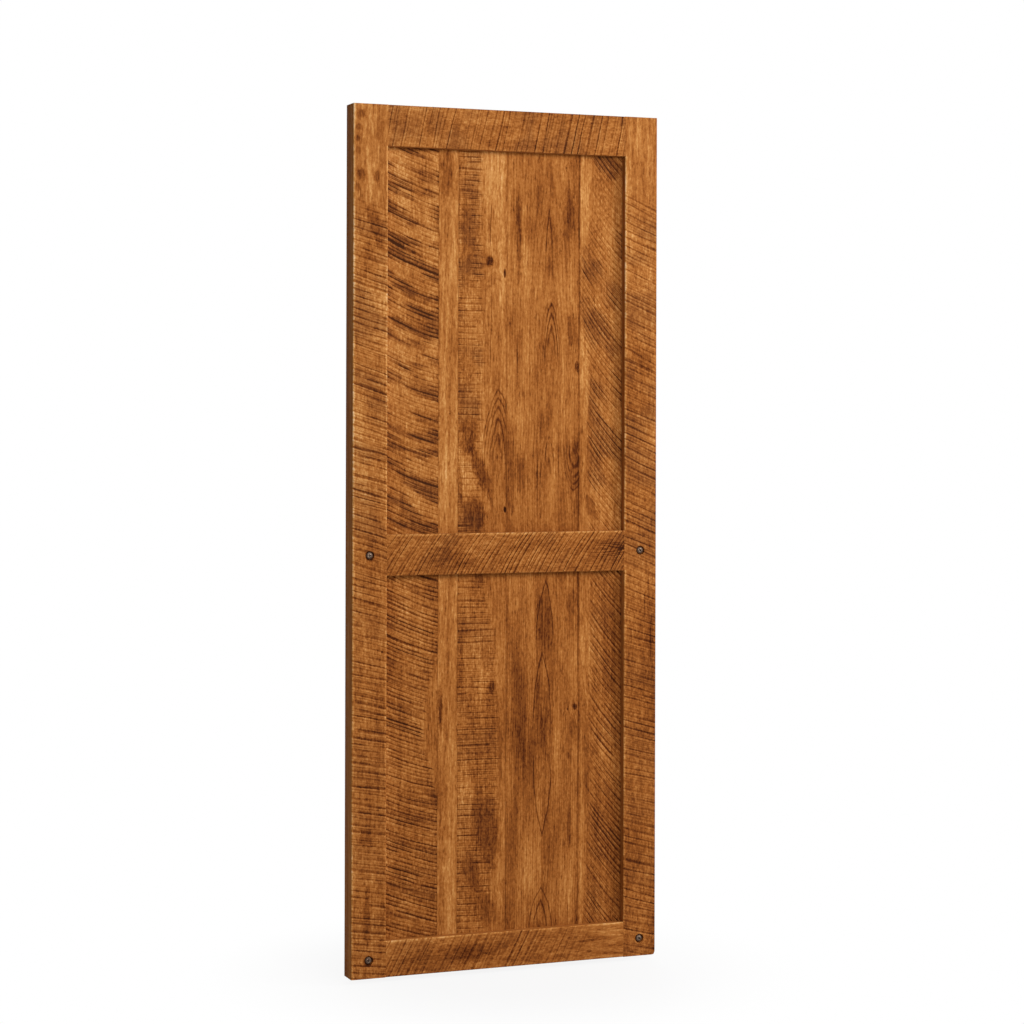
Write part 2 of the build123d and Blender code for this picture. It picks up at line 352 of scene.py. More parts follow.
def stained_wood(name, upright, board):
    """Sawn softwood under a thin honey-brown stain, laid out for one board."""
    material = bpy.data.materials.new(name)
    material.use_nodes = True
    tree = material.node_tree
    shader = tree.nodes["Principled BSDF"]
    x, depth, z = point_in_object(tree)
    across, along = (x, z) if upright else (z, x)
    seed = board["marks"]["Seed"]

    def figures(kind, group):
        """The board's figures of one kind, listed in the order of the group's inputs, and their shares."""
        labels = [item.name for item in group.interface.items_tree if item.in_out == "INPUT"]
        for *values, share in board.get(kind, ()):
            yield use_group(tree, group, dict(zip(labels, (across, along, *values)))), share

    bend = 0.0
    eyes = 0.0
    for found, share in figures("knots", knot):
        bend = found["Bend"] + bend
        eyes = found["Eye"] * share + eyes
    rings = use_group(tree, growth_rings, {
        "Across": across, "Depth": depth, "Along": along, "Bend": bend, "Seed": seed, **board["rings"]})
    fibre = use_group(tree, wood_fibre, {"Across": across, "Depth": depth, "Along": along, "Seed": seed})
    saw = use_group(tree, stain_marks, {"X": x, "Z": z, "Across": across - board["middle"], **board["marks"]})
    edge = stored(tree, "edge")
    arris = stored(tree, "arris") * ease(noise(tree, x * 40, depth * 40, z * 40, 2), 0.2, 0.55)

    dark = 0.0
    darkest_patch = 0.0
    for found, share in figures("blotches", dark_blotch):
        dark = found["Mask"] * share + dark
        darkest_patch = work(tree, "MAXIMUM", found["Mask"], darkest_patch)
    shown = 1 - darkest_patch * board.get("soak", 0.0)

    calm = 1 - saw["Rough"] * board.get("rough", 0.5)
    speckle = fibre["Speckle"] * (0.48 + saw["Rough"] * 0.24)
    tone = fibre["Drift"] * board.get("drift", 0.46) + speckle + board["tone"]
    grain = fibre["Streak"] * 0.50 * board.get("streak", 1.0) + fibre["Band"] * 0.34
    tone = tone + (grain + (rings["Band"] - 0.5) * 0.30) * calm
    upper = ease(z, -1.2, -0.95) * 0.6 + 0.4
    # Painted shade: the tone is darkened towards the bottom of the door, where the light falls off.
    tone = tone - ease(z * -1, 0.8, 1.4) * board.get("painted_low_shade", 0.05)
    tone = tone - rings["Line"] * calm * board["line"] - saw["Bundle"] * upper * board["bundle"]
    dark_dash = ease(fibre["Dash"], 0.05, 0.20)
    pale_dash = ease(fibre["Dash"] * -1, 0.05, 0.20)
    tone = tone - dark_dash * calm * 0.16 + pale_dash * calm * 0.05
    # Painted highlight: a pale line along the ridge beside each saw line lifts the tone.
    cut = saw["Marks"] + saw["Fine"] * 0.55 - saw["Ridge Highlight"] * 0.34
    tone = tone - cut * shown * (1 - ease(z * -1, calmer_from, calmer_to) * 0.25) * board["mark"]
    tone = tone - dark
    for found, share in figures("arches", pointed_arches):
        tone = tone - found["Line"] * share
    tone = tone - eyes

    # The side faces (the door's edges and the recess walls) take a darker tone: partly the planed edges' own
    # stain and partly painted shade; the sides further back, on the planks, are darker still.
    side_stain_and_shade = 0.53 + fibre["Streak"] * 0.3 + fibre["Band"] * 0.4 - ease(depth, -0.012, 0.03) * 0.12
    # Along the arrises the tone is shifted: on the frame it is lifted for wood worn pale and partly as a
    # painted highlight, more so higher up the door; along the plank seams it is lowered.
    tone = tone * (1 - edge) + side_stain_and_shade * edge + arris * (ease(z, -1.6, -0.4) * 0.1 + 0.17)

    ramp = tree.nodes.new("ShaderNodeValToRGB")
    stops = ramp.color_ramp.elements
    while len(stops) < len(stain_colours):
        stops.new(0.5)
    for stop, (position, colour) in zip(stops, stain_colours):
        stop.position = position
        stop.color = colour
    tree.links.new(tone.socket, ramp.inputs[0])
    soil = tree.nodes.new("ShaderNodeMix")
    soil.data_type = "RGBA"
    tree.links.new((saw["Bundle"] * upper * (1 - edge) * 0.25).socket, soil.inputs[0])
    tree.links.new(ramp.outputs[0], soil.inputs[6])
    soil.inputs[7].default_value = soot_brown
    tree.links.new(soil.outputs[2], shader.inputs["Base Color"])
    dull = 0.56 + saw["Marks"] * 0.2 + fibre["Speckle"] * 0.2
    tree.links.new(dull.socket, shader.inputs["Roughness"])
    shader.inputs["Specular IOR Level"].default_value = 0.01
    strokes_cut = (saw["Marks"] * 0.0005 + saw["Fine"] * 0.0004) * (1 - edge)
    relief = fibre["Streak"] * 0.0006 + fibre["Speckle"] * 0.0006 - strokes_cut
    bump = tree.nodes.new("ShaderNodeBump")
    bump.inputs["Strength"].default_value = 1.0
    bump.inputs["Distance"].default_value = 1.0
    tree.links.new(relief.socket, bump.inputs["Height"])
    tree.links.new(bump.outputs[0], shader.inputs["Normal"])
    return material


arris_tone_run = 0.004
crisp_angle = radians(35)


def sawn_board_tree():
    """Bores a board for its bolts, cuts the saw's strokes into both faces, marks its arrises and edges."""
    tree = bpy.data.node_groups.new("Sawn board", "GeometryNodeTree")
    sizes = ["Middle", "Arris Tone From", "Low Arris Tone", "High Arris Tone", "Stroke Depth", "Bore Radius", "Bore Depth"]
    sizes += saw_settings
    add_sockets(tree, "INPUT", {
        "Board": "Geometry", **dict.fromkeys(sizes, "Float"), "Upright": "Bool", "Bored": "Bool",
        "Bolt Places": "Object", "Wood": "Material"})
    add_sockets(tree, "OUTPUT", {"Board": "Geometry"})

    def add(kind, **settings):
        node = tree.nodes.new(kind)
        for label, value in settings.items():
            setattr(node, label, value)
        return node

    start = add("NodeGroupInput")
    end = add("NodeGroupOutput")
    given = {label: Flow(tree, start.outputs[label]) for label in sizes}

    places = add("GeometryNodeObjectInfo")
    tree.links.new(start.outputs["Bolt Places"], places.inputs["Object"])
    drill = add("GeometryNodeMeshCylinder")
    drill.inputs["Vertices"].default_value = 48
    tree.links.new(given["Bore Radius"].socket, drill.inputs["Radius"])
    tree.links.new((given["Bore Depth"] * 2).socket, drill.inputs["Depth"])
    drills = add("GeometryNodeInstanceOnPoints")
    tree.links.new(places.outputs["Geometry"], drills.inputs["Points"])
    tree.links.new(drill.outputs["Mesh"], drills.inputs["Instance"])
    drills.inputs["Rotation"].default_value = (pi / 2, 0, 0)
    solid_drills = add("GeometryNodeRealizeInstances")
    tree.links.new(drills.outputs["Instances"], solid_drills.inputs["Geometry"])
    bored = add("GeometryNodeMeshBoolean", operation="DIFFERENCE")
    tree.links.new(start.outputs["Board"], bored.inputs["Mesh 1"])
    tree.links.new(solid_drills.outputs["Geometry"], bored.inputs["Mesh 2"])
    choice = add("GeometryNodeSwitch", input_type="GEOMETRY")
    tree.links.new(start.outputs["Bored"], choice.inputs["Switch"])
    tree.links.new(start.outputs["Board"], choice.inputs["False"])
    tree.links.new(bored.outputs["Mesh"], choice.inputs["True"])

    facing = add("ShaderNodeSeparateXYZ")
    tree.links.new(add("GeometryNodeInputNormal").outputs["Normal"], facing.inputs[0])
    out_y = abs(Flow(tree, facing.outputs[1]))
    place = add("ShaderNodeSeparateXYZ")
    tree.links.new(add("GeometryNodeInputPosition").outputs["Position"], place.inputs[0])
    x, y, z = (Flow(tree, socket) for socket in place.outputs)
    pick = add("GeometryNodeSwitch", input_type="FLOAT")
    tree.links.new(start.outputs["Upright"], pick.inputs["Switch"])
    tree.links.new(z.socket, pick.inputs["False"])
    tree.links.new(x.socket, pick.inputs["True"])
    across = Flow(tree, pick.outputs["Output"]) - given["Middle"]
    arris_tone_start, arris_tone_full = given["Arris Tone From"], given["Arris Tone From"] + arris_tone_run
    # The arris tone: on the frame, wood worn pale and partly a painted highlight; along the plank seams, a
    # darker line.
    arris_shift = ease(across, arris_tone_start, arris_tone_full) * given["High Arris Tone"]
    arris_shift = (arris_shift + ease(across * -1, arris_tone_start, arris_tone_full) * given["Low Arris Tone"]) * ease(out_y, 0.1, 0.5)
    board = choice.outputs["Output"]
    for label, value in (("arris", arris_shift), ("edge", 1 - ease(out_y, 0.1, 0.5))):
        note = add("GeometryNodeStoreNamedAttribute", data_type="FLOAT", domain="POINT")
        note.inputs["Name"].default_value = label
        tree.links.new(value.socket, note.inputs["Value"])
        tree.links.new(board, note.inputs["Geometry"])
        board = note.outputs["Geometry"]

    settings = {label: given[label] for label in saw_settings}
    cuts = use_group(tree, cut_marks, {"X": x, "Z": z, "Across": across, **settings})
    depth = (cuts["Marks"] + cuts["Fine"] * 0.35) * given["Stroke Depth"] * ease(out_y, 0.8, 0.98)
    move = add("ShaderNodeCombineXYZ")
    tree.links.new((depth * Flow(tree, facing.outputs[1]) * -1).socket, move.inputs[1])
    carve = add("GeometryNodeSetPosition")
    tree.links.new(board, carve.inputs["Geometry"])
    tree.links.new(move.outputs[0], carve.inputs["Offset"])

    smooth = add("GeometryNodeSetShadeSmooth", domain="FACE")
    tree.links.new(carve.outputs["Geometry"], smooth.inputs["Geometry"])
    turn = Flow(tree, add("GeometryNodeInputMeshEdgeAngle").outputs["Unsigned Angle"])
    crisp = add("GeometryNodeSetShadeSmooth", domain="EDGE")
    crisp.inputs["Shade Smooth"].default_value = False
    tree.links.new(work(tree, "GREATER_THAN", turn, crisp_angle).socket, crisp.inputs["Selection"])
    tree.links.new(smooth.outputs["Geometry"], crisp.inputs["Geometry"])
    whole = add("GeometryNodeRealizeInstances")
    tree.links.new(crisp.outputs["Geometry"], whole.inputs["Geometry"])
    finish = add("GeometryNodeSetMaterial")
    tree.links.new(whole.outputs["Geometry"], finish.inputs["Geometry"])
    tree.links.new(start.outputs["Wood"], finish.inputs["Material"])
    tree.links.new(finish.outputs["Geometry"], end.inputs["Board"])
    return tree


sawn_board = sawn_board_tree()


def even(low, high, step):
    """Evenly spaced places from low to high, about one step apart."""
    count = max(1, round((high - low) / step))
    return [low + (high - low) * i / count for i in range(count + 1)]


def rounding(middle, radius, first, last, steps=4):
    """Points round an eased arris, from one angle to another."""
    turns = (radians(first + (last - first) * i / steps) for i in range(steps + 1))
    return [(middle[0] + radius * cos(t), middle[1] + radius * sin(t)) for t in turns]


def blank(name, profile, stations, upright, corner=None):
    """A board's blank: its cross-section run along its length and capped; a corner given is rounded."""
    mesh = bmesh.new()
    rows = []
    for station in stations:
        row = []
        for across, depth in profile:
            here = Vector((across, depth, station)) if upright else Vector((station, depth, across))
            if corner and here.x > corner.x and here.z < corner.z:
                out = here - Vector((corner.x, here.y, corner.z))
                if out.length > 0:
                    here -= out * (1 - max(abs(out.x), abs(out.z)) / out.length)
            row.append(mesh.verts.new(here))
        rows.append(row)
    count = len(profile)
    for lower, upper in zip(rows, rows[1:]):
        for i in range(count):
            j = (i + 1) % count
            mesh.faces.new((lower[i], lower[j], upper[j], upper[i]))
    mesh.faces.new(rows[0][::-1])
    mesh.faces.new(rows[-1])
    bmesh.ops.recalc_face_normals(mesh, faces=mesh.faces)
    data = bpy.data.meshes.new(name)
    mesh.to_mesh(data)
    mesh.free()
    piece = bpy.data.objects.new(name, data)
    bpy.context.scene.collection.objects.link(piece)
    return piece


def run_tree(piece, tree, values):
    """Runs a piece through a node tree with its own values and keeps the result as a plain mesh."""
    modifier = piece.modifiers.new(tree.name, "NODES")
    modifier.node_group = tree
    for socket in tree.interface.items_tree:
        if socket.in_out == "INPUT" and socket.name in values:
            modifier[socket.identifier] = values[socket.name]
    bpy.context.view_layer.update()
    made = piece.evaluated_get(bpy.context.evaluated_depsgraph_get())
    mesh = bpy.data.meshes.new_from_object(made)
    piece.modifiers.clear()
    piece.data = mesh


bore_radius = 0.01125
bore_depth = 0.006
arris_tone_strip = 0.0055
face_step = 0.0042
stroke_step = 0.0027
back_step = 0.012


def saw_and_stain(piece, upright, board, wood, bolt_places=None):
    """Bores, saws and stains a board's blank."""
    run_tree(piece, sawn_board, {
        "Middle": board["middle"], "Arris Tone From": board["half"] - arris_tone_strip, "Low Arris Tone": board["arris_tone"][0],
        "High Arris Tone": board["arris_tone"][1], "Stroke Depth": board["stroke_depth"], "Bore Radius": bore_radius,
        "Bore Depth": bore_depth, "Upright": upright, "Bored": bolt_places is not None,
        "Bolt Places": bolt_places, "Wood": wood, **board["marks"]})


def strokes(seed, angle, low_angle, curve, pitch, width, reach, wander, bundle, gate, zone, feather,
            dent=(0.0, 1.0, 0.0), smooth_above=1.0, fade=0.1):
    """How the saw went through one board; the zone is the strip, across the door, that it left rough."""
    return {
        "Angle": radians(angle), "Low Angle": radians(low_angle), "Curve": curve, "Pitch": pitch,
        "Width": width, "Reach": reach, "Wander": wander, "Bundle": bundle, "Gate": gate,
        "Dent At": dent[0], "Dent Half": dent[1], "Dent Depth": dent[2],
        "Zone Middle": (zone[0] + zone[1]) / 2, "Zone Half": (zone[1] - zone[0]) / 2,
        "Feather": feather, "Smooth Above": smooth_above, "Fade": fade, "Seed": seed}


def rings(pith_across, pith_depth, lean, sway, width):
    """Where the tree's middle ran, seen from one board, and how wide its years are."""
    return {
        "Pith Across": pith_across, "Pith Depth": pith_depth, "Lean": lean, "Sway": sway, "Ring": width}


plank_boards = {
    "plank_1": {
        "tone": 0.595, "painted_low_shade": 0.05, "line": 0.03, "mark": 0.49, "bundle": 0.17, "stroke_depth": 0.0006,
        "rings": rings(-0.30, 0.09, 0.02, 0.03, 0.0050),
        "marks": strokes(11.0, -25, -22, -0.73, 0.0095, 0.0024, 0.07, 0.010, 0.034, 0.7,
                         (-0.40, -0.165), 0.012, (-1.52, 0.30, 0.055)),
    },
    "plank_2": {
        "tone": 0.58, "painted_low_shade": 0.0, "line": 0.03, "mark": 0.25, "bundle": 0.04, "stroke_depth": 0.0002,
        "rings": rings(-0.10, 0.12, 0.01, 0.02, 0.0035),
        "marks": strokes(23.0, -4, -4, 0.0, 0.014, 0.0015, 0.05, 0.006, 0.06, 0.5, (-0.2, -0.19), 0.01),
        "knots": [(-0.148, -0.755, 0.002, 1.0, 0.3)],
        "blotches": [(-0.170, -1.49, 0.007, 0.06, 0.0, 0.34), (-0.156, -0.15, 0.024, 0.08, 0.0, 0.20),
                     (-0.172, -1.72, 0.005, 0.10, 0.0, 0.14)],
    },
    "plank_3": {
        "tone": 0.55, "painted_low_shade": 0.03, "line": 0.06, "mark": 0.36, "bundle": 0.05, "rough": 0.2, "soak": 0.85,
        "stroke_depth": 0.0004,
        "rings": rings(-0.03, 0.04, 0.03, 0.05, 0.0055),
        "marks": strokes(37.0, -1, -1, 0.0, 0.0145, 0.0024, 0.045, 0.006, 0.09, 0.5, (-0.16, -0.076), 0.02,
                         (-1.60, 0.60, -0.055)),
        "knots": [(-0.044, -0.375, 0.0125, 1.3, 0.46), (-0.036, -1.437, 0.011, 1.5, 0.36),
                  (-0.003, -0.404, 0.0034, 4.2, 0.70), (-0.001, -0.995, 0.0036, 2.4, 0.70)],
        "arches": [(-0.021, -0.89, 0.045, 0.20, 5.2, 0.5, 0.20)],
        "blotches": [
            (-0.105, -0.36, 0.018, 0.14, 0.0, 0.10), (-0.100, -0.62, 0.02, 0.08, 0.0, 0.07),
            (-0.041, -0.29, 0.0016, 0.08, 0.03, 0.26), (-0.038, -0.47, 0.0015, 0.09, 0.0, 0.20),
            (-0.041, -0.59, 0.0015, 0.07, 0.0, 0.20),
            (-0.100, -0.81, 0.030, 0.055, 0.0, 0.25), (-0.068, -0.895, 0.022, 0.075, -0.4, 0.27),
            (-0.121, -0.93, 0.007, 0.05, 0.0, 0.22), (-0.085, -1.005, 0.036, 0.055, -0.2, 0.24),
            (-0.055, -1.36, 0.016, 0.05, 0.0, 0.10), (-0.045, -1.79, 0.040, 0.10, -0.15, 0.17),
            (-0.088, -1.90, 0.026, 0.05, -0.3, 0.14), (-0.050, -1.99, 0.034, 0.05, -0.2, 0.15)],
    },
    "plank_4": {
        "tone": 0.535, "painted_low_shade": 0.09, "line": 0.08, "streak": 0.65, "drift": 0.65, "mark": 0.25,
        "bundle": 0.04, "stroke_depth": 0.0002,
        "rings": rings(0.118, 0.05, 0.035, 0.05, 0.0060),
        "marks": strokes(41.0, -6, -6, 0.0, 0.016, 0.0015, 0.05, 0.006, 0.06, 0.5, (0.30, 0.31), 0.02),
        "knots": [(0.194, -0.637, 0.0075, 2.2, 0.32), (0.190, -1.494, 0.008, 1.3, 0.45),
                  (0.170, -1.50, 0.003, 1.3, 0.3), (0.163, -0.135, 0.003, 1.0, 0.45),
                  (0.130, -0.845, 0.003, 2.0, 0.25), (0.149, -0.345, 0.0025, 1.4, 0.3)],
        "arches": [
            (0.116, -0.40, 0.012, 0.18, 1.4, 0.3, 0.22), (0.122, -0.62, 0.024, 0.15, 3.4, 0.7, 0.25),
            (0.119, -0.885, 0.016, 0.09, 1.6, 0.4, 0.26), (0.187, -0.83, 0.030, -0.12, 4.2, 1.0, 0.20),
            (0.108, -1.34, 0.026, 0.18, 1.2, 0.3, 0.24), (0.101, -1.54, 0.028, 0.20, 1.2, 0.3, 0.24),
            (0.100, -1.62, 0.028, -0.21, 1.2, 0.2, 0.24), (0.098, -2.06, 0.036, 0.13, 2.6, 0.4, 0.22)],
        "blotches": [
            (0.034, -0.31, 0.008, 0.13, 0.0, 0.18), (0.062, -0.29, 0.022, 0.05, 0.0, 0.10),
            (0.173, -0.255, 0.018, 0.08, 0.0, 0.20), (0.180, -0.545, 0.016, 0.06, 0.0, 0.20),
            (0.031, -0.63, 0.002, 0.07, 0.0, 0.20), (0.097, -0.78, 0.010, 0.045, 0.0, 0.15),
            (0.086, -0.92, 0.0018, 0.08, 0.0, 0.24), (0.094, -0.90, 0.0016, 0.07, 0.0, 0.20),
            (0.143, -0.86, 0.0016, 0.13, 0.0, 0.20), (0.045, -0.905, 0.020, 0.05, 0.0, 0.10),
            (0.106, -1.26, 0.020, 0.10, 0.0, 0.08), (0.100, -1.50, 0.022, 0.14, 0.0, 0.10),
            (0.177, -1.24, 0.013, 0.045, 0.0, 0.16), (0.185, -1.545, 0.011, 0.03, 0.0, 0.16),
            (0.070, -1.62, 0.010, 0.12, 0.0, 0.10), (0.178, -1.80, 0.010, 0.06, 0.0, 0.16)],
    },
    "plank_5": {
        "tone": 0.59, "painted_low_shade": 0.115, "line": 0.03, "mark": 0.44, "bundle": 0.06, "stroke_depth": 0.0006,
        "rings": rings(0.34, 0.10, 0.02, 0.03, 0.0048),
        "marks": strokes(53.0, -46, -46, -1.9, 0.0105, 0.0024, 0.08, 0.012, 0.08, 0.65, (0.246, 0.45), 0.03,
                         (-0.45, 0.22, -0.035)),
        "blotches": [(0.232, -0.99, 0.016, 0.04, -0.3, 0.16), (0.30, -0.13, 0.02, 0.02, 0.0, 0.07)],
    },
}

door_low, door_high = cad_box
plank_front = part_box("plank_2")[0].y
plank_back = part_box("plank_2")[1].y
seams = [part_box(name)[0].x for name in plank_boards] + [door_high.x]
recess = (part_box("left_stile")[1].x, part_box("right_stile")[0].x)
seam_bevel = 0.0006
plank_arris = 0.003
worn_corner = 0.009
wear_end = 0.001
tongue_length = 0.009
tongue_half = 0.006
groove_depth = 0.0092
groove_half = 0.0062
seam_shade = -0.35
deep_seam_shade = -0.9
deep_seam = 4
last = len(plank_boards) - 1
plank_middle_y = (plank_front + plank_back) / 2
corner_middle = Vector((door_high.x - worn_corner, 0, door_low.z + worn_corner))
plank_stations = even(door_low.z, door_high.z, stroke_step)

for number, (plank_name, plank) in enumerate(plank_boards.items()):
    left, right = seams[number], seams[number + 1]
    plank["middle"] = (left + right) / 2
    plank["half"] = (right - left) / 2
    plank["arris_tone"] = [deep_seam_shade if seam == deep_seam else seam_shade for seam in (number, number + 1)]
    face_left = left + seam_bevel if number > 0 else left
    face_right = right - seam_bevel if number < last else right
    clear_left = max(face_left, recess[0])
    clear_right = min(face_right, recess[1])
    face = even(clear_left, clear_right, face_step)
    if clear_left > face_left:
        face = [face_left, *face]
    if clear_right < face_right:
        face = [*face, face_right]
    profile = [(x, plank_front) for x in face]
    if number < last:
        profile += [
            (right, plank_front + seam_bevel),
            (right, plank_middle_y - tongue_half),
            (right + tongue_length, plank_middle_y - tongue_half),
            (right + tongue_length, plank_middle_y + tongue_half),
            (right, plank_middle_y + tongue_half),
            (right, plank_back - seam_bevel),
        ]
        rear_right = right - seam_bevel
    else:
        profile.append((right, plank_front + wear_end))
        profile += rounding((right - plank_arris, plank_back - plank_arris), plank_arris, 0, 90)[:-1]
        rear_right = right - plank_arris
    rear_left = left + seam_bevel if number > 0 else left + plank_arris
    profile += [(x, plank_back) for x in reversed(even(rear_left, rear_right, back_step))]
    if number > 0:
        profile += [
            (left, plank_back - seam_bevel),
            (left, plank_middle_y + groove_half),
            (left + groove_depth, plank_middle_y + groove_half),
            (left + groove_depth, plank_middle_y - groove_half),
            (left, plank_middle_y - groove_half),
            (left, plank_front + seam_bevel),
        ]
    else:
        profile += rounding((left + plank_arris, plank_back - plank_arris), plank_arris, 90, 180)[1:]
        profile.append((left, plank_front + wear_end))
    wood = stained_wood("stained_" + plank_name, True, plank)
    corner = corner_middle if number == last else None
    piece = blank("sawn_" + plank_name, profile, plank_stations, True, corner)
    saw_and_stain(piece, True, plank, wood)
    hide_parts(plank_name)
    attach(piece, "root")

# Face frame
# Two stiles and three rails of thinner stock, sawn and stained like the planks, are laid over their front.
# The rails stand between the stiles; the long front arrises are eased, worn pale by handling and lightened
# further by a painted highlight.

frame_arris = 0.003
hair = 0.0001
# Painted shade round each bolt, where its counterbore lies in shadow: the patch's radius and its darkness.
bolt_shade_radius = 0.0125
bolt_shade_share = 0.36
frame_boards = {
    "left_stile": {
        "tone": 0.585, "painted_low_shade": 0.07, "line": 0.03, "drift": 0.34, "arris_tone": (1.3, 0.8), "mark": 0.37,
        "bundle": 0.03, "stroke_depth": 0.0006,
        "rings": rings(-0.40, 0.08, 0.015, 0.03, 0.0045),
        "marks": strokes(61.0, -17, -9, 0.0, 0.016, 0.0032, 0.08, 0.008, 0.09, 0.35, (-0.5, -0.2), 0.02,
                         smooth_above=-0.20, fade=0.14),
        "knots": [(-0.330, -1.338, 0.003, 1.2, 0.4)],
        "blotches": [(-0.388, -0.024, 0.014, 0.016, 0.0, 0.24), (-0.392, -0.058, 0.010, 0.010, 0.0, 0.18),
                     (-0.398, -0.085, 0.009, 0.008, 0.0, 0.18), (-0.394, -0.115, 0.009, 0.010, 0.0, 0.14),
                     (-0.388, -0.172, 0.016, 0.018, 0.0, 0.24), (-0.396, -0.205, 0.010, 0.012, 0.0, 0.18),
                     (-0.346, -0.176, 0.011, 0.016, 0.0, 0.20), (-0.342, -0.06, 0.012, 0.04, 0.0, 0.12),
                     (-0.349, -0.29, 0.020, 0.07, -0.3, 0.17), (-0.362, -0.37, 0.02, 0.05, 0.0, 0.12),
                     (-0.367, -1.79, 0.026, 0.03, 0.0, 0.12), (-0.367, -1.98, 0.012, 0.09, 0.0, 0.14)],
    },
    "right_stile": {
        "tone": 0.535, "painted_low_shade": 0.085, "line": 0.03, "arris_tone": (1.2, 0.0), "mark": 0.29, "bundle": 0.03,
        "stroke_depth": 0.0006,
        "rings": rings(0.32, 0.09, 0.015, 0.03, 0.0045),
        "marks": strokes(71.0, -23, -15, 0.0, 0.019, 0.0036, 0.14, 0.008, 0.09, 0.25, (0.2, 0.5), 0.02,
                         smooth_above=-0.16, fade=0.1),
        "blotches": [(0.37, -0.62, 0.03, 0.05, -0.4, 0.13), (0.36, -0.72, 0.03, 0.05, -0.4, 0.10),
                     (0.384, -1.19, 0.0016, 0.05, 0.0, 0.2), (0.374, -1.25, 0.0016, 0.06, 0.02, 0.2),
                     (0.364, -1.22, 0.0014, 0.04, 0.0, 0.16), (0.392, -1.33, 0.0016, 0.06, 0.0, 0.18)],
    },
    "top_rail": {
        "tone": 0.525, "line": 0.03, "streak": 0.6, "drift": 0.36, "arris_tone": (0.2, 0.0), "mark": 0.37,
        "bundle": 0.03, "stroke_depth": 0.0005,
        "rings": rings(-0.12, 0.08, 0.015, 0.03, 0.0045),
        "marks": strokes(83.0, 77, 77, 0.0, 0.020, 0.0023, 0.4, 0.014, 0.08, 0.3, (-0.5, 0.5), 0.02),
        "blotches": [(-0.05, -0.21, 0.05, 0.012, 0.2, 0.07), (-0.04, -0.14, 0.05, 0.010, 0.2, 0.07)],
    },
    "middle_rail": {
        "tone": 0.54, "line": 0.05, "streak": 0.5, "drift": 0.30, "arris_tone": (0.2, 1.0), "mark": 0.39,
        "bundle": 0.03, "stroke_depth": 0.0005,
        "rings": rings(-1.098, 0.05, 0.04, 0.03, 0.0060),
        "marks": strokes(97.0, 57, 57, 1.2, 0.0092, 0.0020, 0.14, 0.006, 0.08, 0.25, (-0.5, 0.5), 0.2),
        "arches": [(-1.096, 0.24, 0.018, 0.13, 3.0, 0.6, 0.22)],
        "blotches": [(-1.105, -0.16, 0.035, 0.07, 0.0, 0.10), (-1.095, 0.31, 0.006, 0.025, 0.0, 0.16)],
    },
    "bottom_rail": {
        "tone": 0.555, "painted_low_shade": 0.03, "line": 0.03, "arris_tone": (0.0, 1.2), "mark": 0.30, "bundle": 0.04,
        "stroke_depth": 0.0005,
        "rings": rings(-2.15, 0.05, 0.02, 0.03, 0.0048),
        "marks": strokes(103.0, 62, 62, 0.0, 0.019, 0.0034, 0.16, 0.008, 0.08, 0.3, (-0.5, 0.04), 0.25),
        "knots": [(-2.111, 0.224, 0.005, 1.6, 0.3)],
        "blotches": [(-2.09, -0.09, 0.03, 0.07, 0.0, 0.09), (-2.085, 0.24, 0.012, 0.05, 0.0, 0.10)],
    },
}


def eased_profile(low, high, front, back):
    """A frame board's cross-section: both front arrises rounded, the back square."""
    points = rounding((low + frame_arris, front + frame_arris), frame_arris, 180, 270)
    points += [(place, front) for place in even(low + frame_arris, high - frame_arris, face_step)[1:-1]]
    points += rounding((high - frame_arris, front + frame_arris), frame_arris, 270, 360)
    shoulder, heel = front + frame_arris + wear_end, back - wear_end
    points += [(high, shoulder), (high, heel), (high, back)]
    return points + [(low, back), (low, heel), (low, shoulder)]


bolt_names = {"left_stile": ("bolt_middle_left", "bolt_bottom_left"),
              "right_stile": ("bolt_middle_right", "bolt_bottom_right")}
rails = [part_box(name) for name in ("top_rail", "middle_rail", "bottom_rail")]
for board_name, board in frame_boards.items():
    low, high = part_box(board_name)
    upright = board_name in bolt_names
    sides = (low.x, high.x) if upright else (low.z, high.z)
    ends = (low.z, high.z) if upright else recess
    board["middle"] = (sides[0] + sides[1]) / 2
    board["half"] = (sides[1] - sides[0]) / 2
    places = None
    if upright:
        bolts = [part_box(bolt) for bolt in bolt_names[board_name]]
        seats = [((b[0].x + b[1].x) / 2, low.y, (b[0].z + b[1].z) / 2) for b in bolts]
        seat_mesh = bpy.data.meshes.new(board_name + "_bolt_places")
        seat_mesh.from_pydata(seats, [], [])
        places = bpy.data.objects.new(board_name + "_bolt_places", seat_mesh)
        # Painted shade: a dark patch round each bolt's counterbore is added to the stile's colour.
        board["blotches"] += [(x, z, bolt_shade_radius, bolt_shade_radius, 0.0, bolt_shade_share) for x, _, z in seats]
    wood = stained_wood("stained_" + board_name, upright, board)
    profile = eased_profile(*sides, low.y, high.y)
    corner = corner_middle if board_name == "right_stile" else None
    piece = blank("sawn_" + board_name, profile, even(*ends, stroke_step), upright, corner)
    saw_and_stain(piece, upright, board, wood, places)
    if upright:
        for vertex, arris_shift in zip(piece.data.vertices, piece.data.attributes["arris"].data):
            butted = any(rail[0].z < vertex.co.z < rail[1].z for rail in rails)
            inward = abs(board["middle"]) - abs(vertex.co.x)
            if butted and inward > 0:
                arris_shift.value = 0.0
                if inward > board["half"] - frame_arris and vertex.co.y < low.y + frame_arris + hair:
                    vertex.co.y = low.y
    if places:
        bpy.data.objects.remove(places)
    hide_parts(board_name)
    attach(piece, "root")

# Bolts
# Four steel bolts with a low domed head and a six-sided socket, browned and rubbed bright on the crown.
# Each is turned in one piece and sits in a counterbore in a stile, where the middle and bottom rails meet it.

